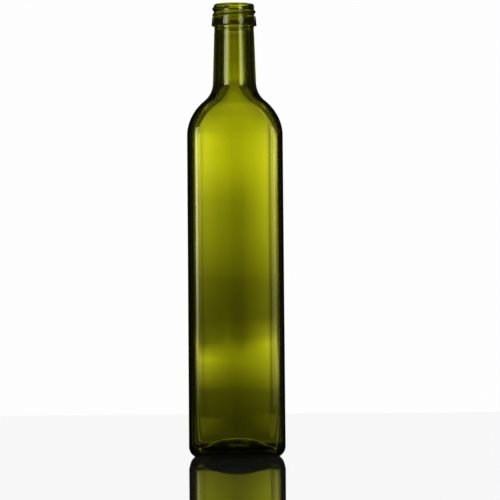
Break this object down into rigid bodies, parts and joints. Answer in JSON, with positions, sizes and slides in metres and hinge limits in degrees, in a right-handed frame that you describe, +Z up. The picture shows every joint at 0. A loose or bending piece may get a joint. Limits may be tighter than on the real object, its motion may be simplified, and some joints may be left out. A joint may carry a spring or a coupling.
{
  "type": "olive oil bottle",
  "caption": "Empty green glass bottle for olive oil: square body with rounded corners, sloping shoulder, round neck and open screw mouth without a cap.",
  "frame": {"origin": "centre of the base, on the surface that the bottle stands on", "axes": "+Z up along the bottle's axis towards the mouth; the body's flat sides face +X, -X, +Y and -Y"},
  "size_m": [0.0654, 0.0654, 0.31],
  "materials": {
    "glass": "clear antique green, smooth and glossy"
  },
  "bodies": {
    "root": {"bottle": "glass"}
  },
  "joints": []
}
